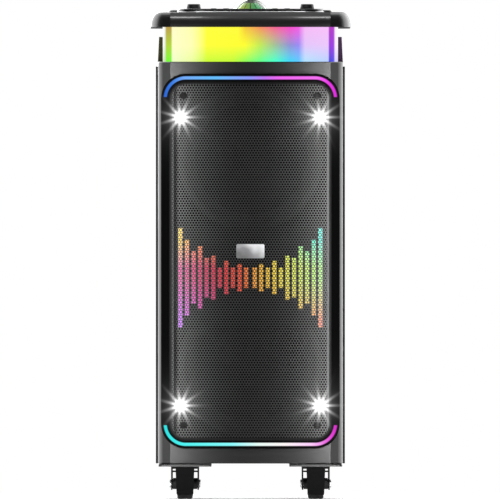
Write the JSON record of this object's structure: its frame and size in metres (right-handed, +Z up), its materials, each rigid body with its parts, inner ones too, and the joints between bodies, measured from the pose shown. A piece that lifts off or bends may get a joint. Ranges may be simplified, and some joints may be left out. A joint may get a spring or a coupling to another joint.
{
  "type": "party speaker tower",
  "caption": "Tall wheeled party speaker with perforated grille, lit frame, glowing band under a mushroom lid, control deck, clear lamp dome and trolley handle.",
  "frame": {"origin": "on the floor, under the middle of the overall box", "axes": "+Z up, -Y is the grille's side, +X to the right seen from the front"},
  "size_m": [0.36, 0.327, 0.9],
  "materials": {
    "black_shell": "satin black moulded plastic",
    "gloss_lid": "glossy black",
    "bezel_black": "gloss black",
    "board_wood": "painted fibre board",
    "cover_black": "grained black plastic",
    "grille_steel": "black painted perforated steel",
    "screw_black": "black zinc",
    "light_top": "lit light guide",
    "light_low": "lit light guide",
    "strobe_white": "lit lamp lens",
    "board_green": "circuit board",
    "wave_light": "lit bars, orange to pink and green",
    "badge_silver": "brushed",
    "driver_steel": "black pressed steel",
    "magnet_ferrite": "ferrite and steel",
    "rubber_black": "soft rubber",
    "cone_paper": "black paper pulp",
    "band_clear": "translucent band, lit in many colours",
    "core_white": "white diffuser",
    "fin_black": "gloss black",
    "trim_black": "soft black strip",
    "deck_black": "black deck",
    "knob_grey": "dark grey fluted",
    "button_grey": "dark grey",
    "dome_clear": "clear",
    "drum_dark": "dark lens drum",
    "motor_steel": "steel can",
    "tube_steel": "plated tube",
    "sleeve_black": "black steel",
    "grip_black": "black grip",
    "panel_metal": "black metal",
    "socket_black": "black socket",
    "rocker_red": "red rocker",
    "battery_wrap": "wrapped cells",
    "supply_steel": "sheet steel case",
    "caster_steel": "black painted steel",
    "axle_steel": "zinc plated",
    "wheel_grey": "dark grey moulded wheel",
    "lever_black": "black nylon"
  },
  "bodies": {
    "cabinet": {"cabinet_shell": "black_shell", "front_baffle": "board_wood", "rear_cover": "cover_black", "bezel_frame": "bezel_black", "light_guide_top": "light_top", "light_guide_bottom": "light_low", "grille_panel": "grille_steel", "grille_screws": "screw_black", "strobe_lamps": "strobe_white", "wave_board": "board_green", "wave_light_bars": "wave_light", "badge_plate": "badge_silver", "woofer_baskets": "driver_steel", "woofer_magnets": "magnet_ferrite", "woofer_surrounds": "rubber_black", "tweeter_horn": "driver_steel", "light_band": "band_clear", "band_light_core": "core_white", "lid": "gloss_lid", "side_fins": "fin_black", "side_trims": "trim_black", "control_deck": "deck_black", "control_board": "board_green", "dome_cover": "dome_clear", "dome_motor": "motor_steel", "handle_sleeves": "sleeve_black", "rear_panel": "panel_metal", "jack_sockets": "socket_black", "power_inlet": "socket_black", "amplifier_board": "board_green", "battery_pack": "battery_wrap", "power_supply": "supply_steel", "caster_plates": "caster_steel"},
    "knob_left": {"knob_left": "knob_grey"},
    "knob_right": {"knob_right": "knob_grey"},
    "button_play": {"button_play": "button_grey"},
    "button_mode": {"button_mode": "button_grey"},
    "button_lights": {"button_lights": "button_grey"},
    "button_echo": {"button_echo": "button_grey"},
    "lens_drum": {"dome_core": "drum_dark"},
    "cone_lower": {"woofer_cone_lower": "cone_paper"},
    "cone_upper": {"woofer_cone_upper": "cone_paper"},
    "handle": {"handle_tubes": "tube_steel", "handle_grip": "grip_black"},
    "release": {"handle_release": "button_grey"},
    "rocker": {"power_rocker": "rocker_red"},
    "swivel_front_left": {"fork_front_left": "caster_steel", "axle_front_left": "axle_steel"},
    "roller_front_left": {"wheel_front_left": "wheel_grey"},
    "brake_front_left": {"brake_lever_front_left": "lever_black"},
    "swivel_front_right": {"fork_front_right": "caster_steel", "axle_front_right": "axle_steel"},
    "roller_front_right": {"wheel_front_right": "wheel_grey"},
    "brake_front_right": {"brake_lever_front_right": "lever_black"},
    "swivel_rear_left": {"fork_rear_left": "caster_steel", "axle_rear_left": "axle_steel"},
    "roller_rear_left": {"wheel_rear_left": "wheel_grey"},
    "swivel_rear_right": {"fork_rear_right": "caster_steel", "axle_rear_right": "axle_steel"},
    "roller_rear_right": {"wheel_rear_right": "wheel_grey"}
  },
  "joints": [
    {"name": "knob_left_turn", "type": "hinge", "parent": "cabinet", "child": "knob_left", "pos_m": [-0.102, -0.072, 0.8818], "axis": [0, 0, 1], "range_deg": [-150, 150]},
    {"name": "knob_right_turn", "type": "hinge", "parent": "cabinet", "child": "knob_right", "pos_m": [0.102, -0.072, 0.8818], "axis": [0, 0, 1], "range_deg": [-150, 150]},
    {"name": "button_play_press", "type": "slide", "parent": "cabinet", "child": "button_play", "axis": [0, 0, -1], "range_m": [0, 0.001], "stiffness_N_per_m": 400, "springref_m": -0.0005},
    {"name": "button_mode_press", "type": "slide", "parent": "cabinet", "child": "button_mode", "axis": [0, 0, -1], "range_m": [0, 0.001], "stiffness_N_per_m": 400, "springref_m": -0.0005},
    {"name": "button_lights_press", "type": "slide", "parent": "cabinet", "child": "button_lights", "axis": [0, 0, -1], "range_m": [0, 0.001], "stiffness_N_per_m": 400, "springref_m": -0.0005},
    {"name": "button_echo_press", "type": "slide", "parent": "cabinet", "child": "button_echo", "axis": [0, 0, -1], "range_m": [0, 0.001], "stiffness_N_per_m": 400, "springref_m": -0.0005},
    {"name": "lens_drum_spin", "type": "hinge", "parent": "cabinet", "child": "lens_drum", "pos_m": [0, -0.02, 0.885], "axis": [0, 0, 1], "continuous": true},
    {"name": "cone_lower_travel", "type": "slide", "parent": "cabinet", "child": "cone_lower", "axis": [0, -1, 0], "range_m": [-0.004, 0.004], "stiffness_N_per_m": 1500},
    {"name": "cone_upper_travel", "type": "slide", "parent": "cabinet", "child": "cone_upper", "axis": [0, -1, 0], "range_m": [-0.004, 0.004], "stiffness_N_per_m": 1500},
    {"name": "handle_slide", "type": "slide", "parent": "cabinet", "child": "handle", "axis": [0, 0, 1], "range_m": [0, 0.28]},
    {"name": "release_press", "type": "slide", "parent": "handle", "child": "release", "axis": [0, 0, -1], "range_m": [0, 0.003], "stiffness_N_per_m": 300, "springref_m": -0.001},
    {"name": "rocker_tip", "type": "hinge", "parent": "cabinet", "child": "rocker", "pos_m": [0, 0.1535, 0.56], "axis": [-1, 0, 0], "range_deg": [0, 16]},
    {"name": "swivel_front_left_turn", "type": "hinge", "parent": "cabinet", "child": "swivel_front_left", "pos_m": [-0.1176, -0.1, 0.0579], "axis": [0, 0, 1], "continuous": true},
    {"name": "wheel_front_left_roll", "type": "hinge", "parent": "swivel_front_left", "child": "roller_front_left", "pos_m": [-0.1176, -0.118, 0.0268], "axis": [1, 0, 0], "continuous": true},
    {"name": "brake_front_left_press", "type": "hinge", "parent": "swivel_front_left", "child": "brake_front_left", "pos_m": [-0.1176, -0.141, 0.05], "axis": [1, 0, 0], "range_deg": [0, 8]},
    {"name": "swivel_front_right_turn", "type": "hinge", "parent": "cabinet", "child": "swivel_front_right", "pos_m": [0.1176, -0.1, 0.0579], "axis": [0, 0, 1], "continuous": true},
    {"name": "wheel_front_right_roll", "type": "hinge", "parent": "swivel_front_right", "child": "roller_front_right", "pos_m": [0.1176, -0.118, 0.0268], "axis": [1, 0, 0], "continuous": true},
    {"name": "brake_front_right_press", "type": "hinge", "parent": "swivel_front_right", "child": "brake_front_right", "pos_m": [0.1176, -0.141, 0.05], "axis": [1, 0, 0], "range_deg": [0, 8]},
    {"name": "swivel_rear_left_turn", "type": "hinge", "parent": "cabinet", "child": "swivel_rear_left", "pos_m": [-0.1176, 0.1, 0.0579], "axis": [0, 0, 1], "continuous": true},
    {"name": "wheel_rear_left_roll", "type": "hinge", "parent": "swivel_rear_left", "child": "roller_rear_left", "pos_m": [-0.1176, 0.082, 0.0268], "axis": [1, 0, 0], "continuous": true},
    {"name": "swivel_rear_right_turn", "type": "hinge", "parent": "cabinet", "child": "swivel_rear_right", "pos_m": [0.1176, 0.1, 0.0579], "axis": [0, 0, 1], "continuous": true},
    {"name": "wheel_rear_right_roll", "type": "hinge", "parent": "swivel_rear_right", "child": "roller_rear_right", "pos_m": [0.1176, 0.082, 0.0268], "axis": [1, 0, 0], "continuous": true}
  ]
}
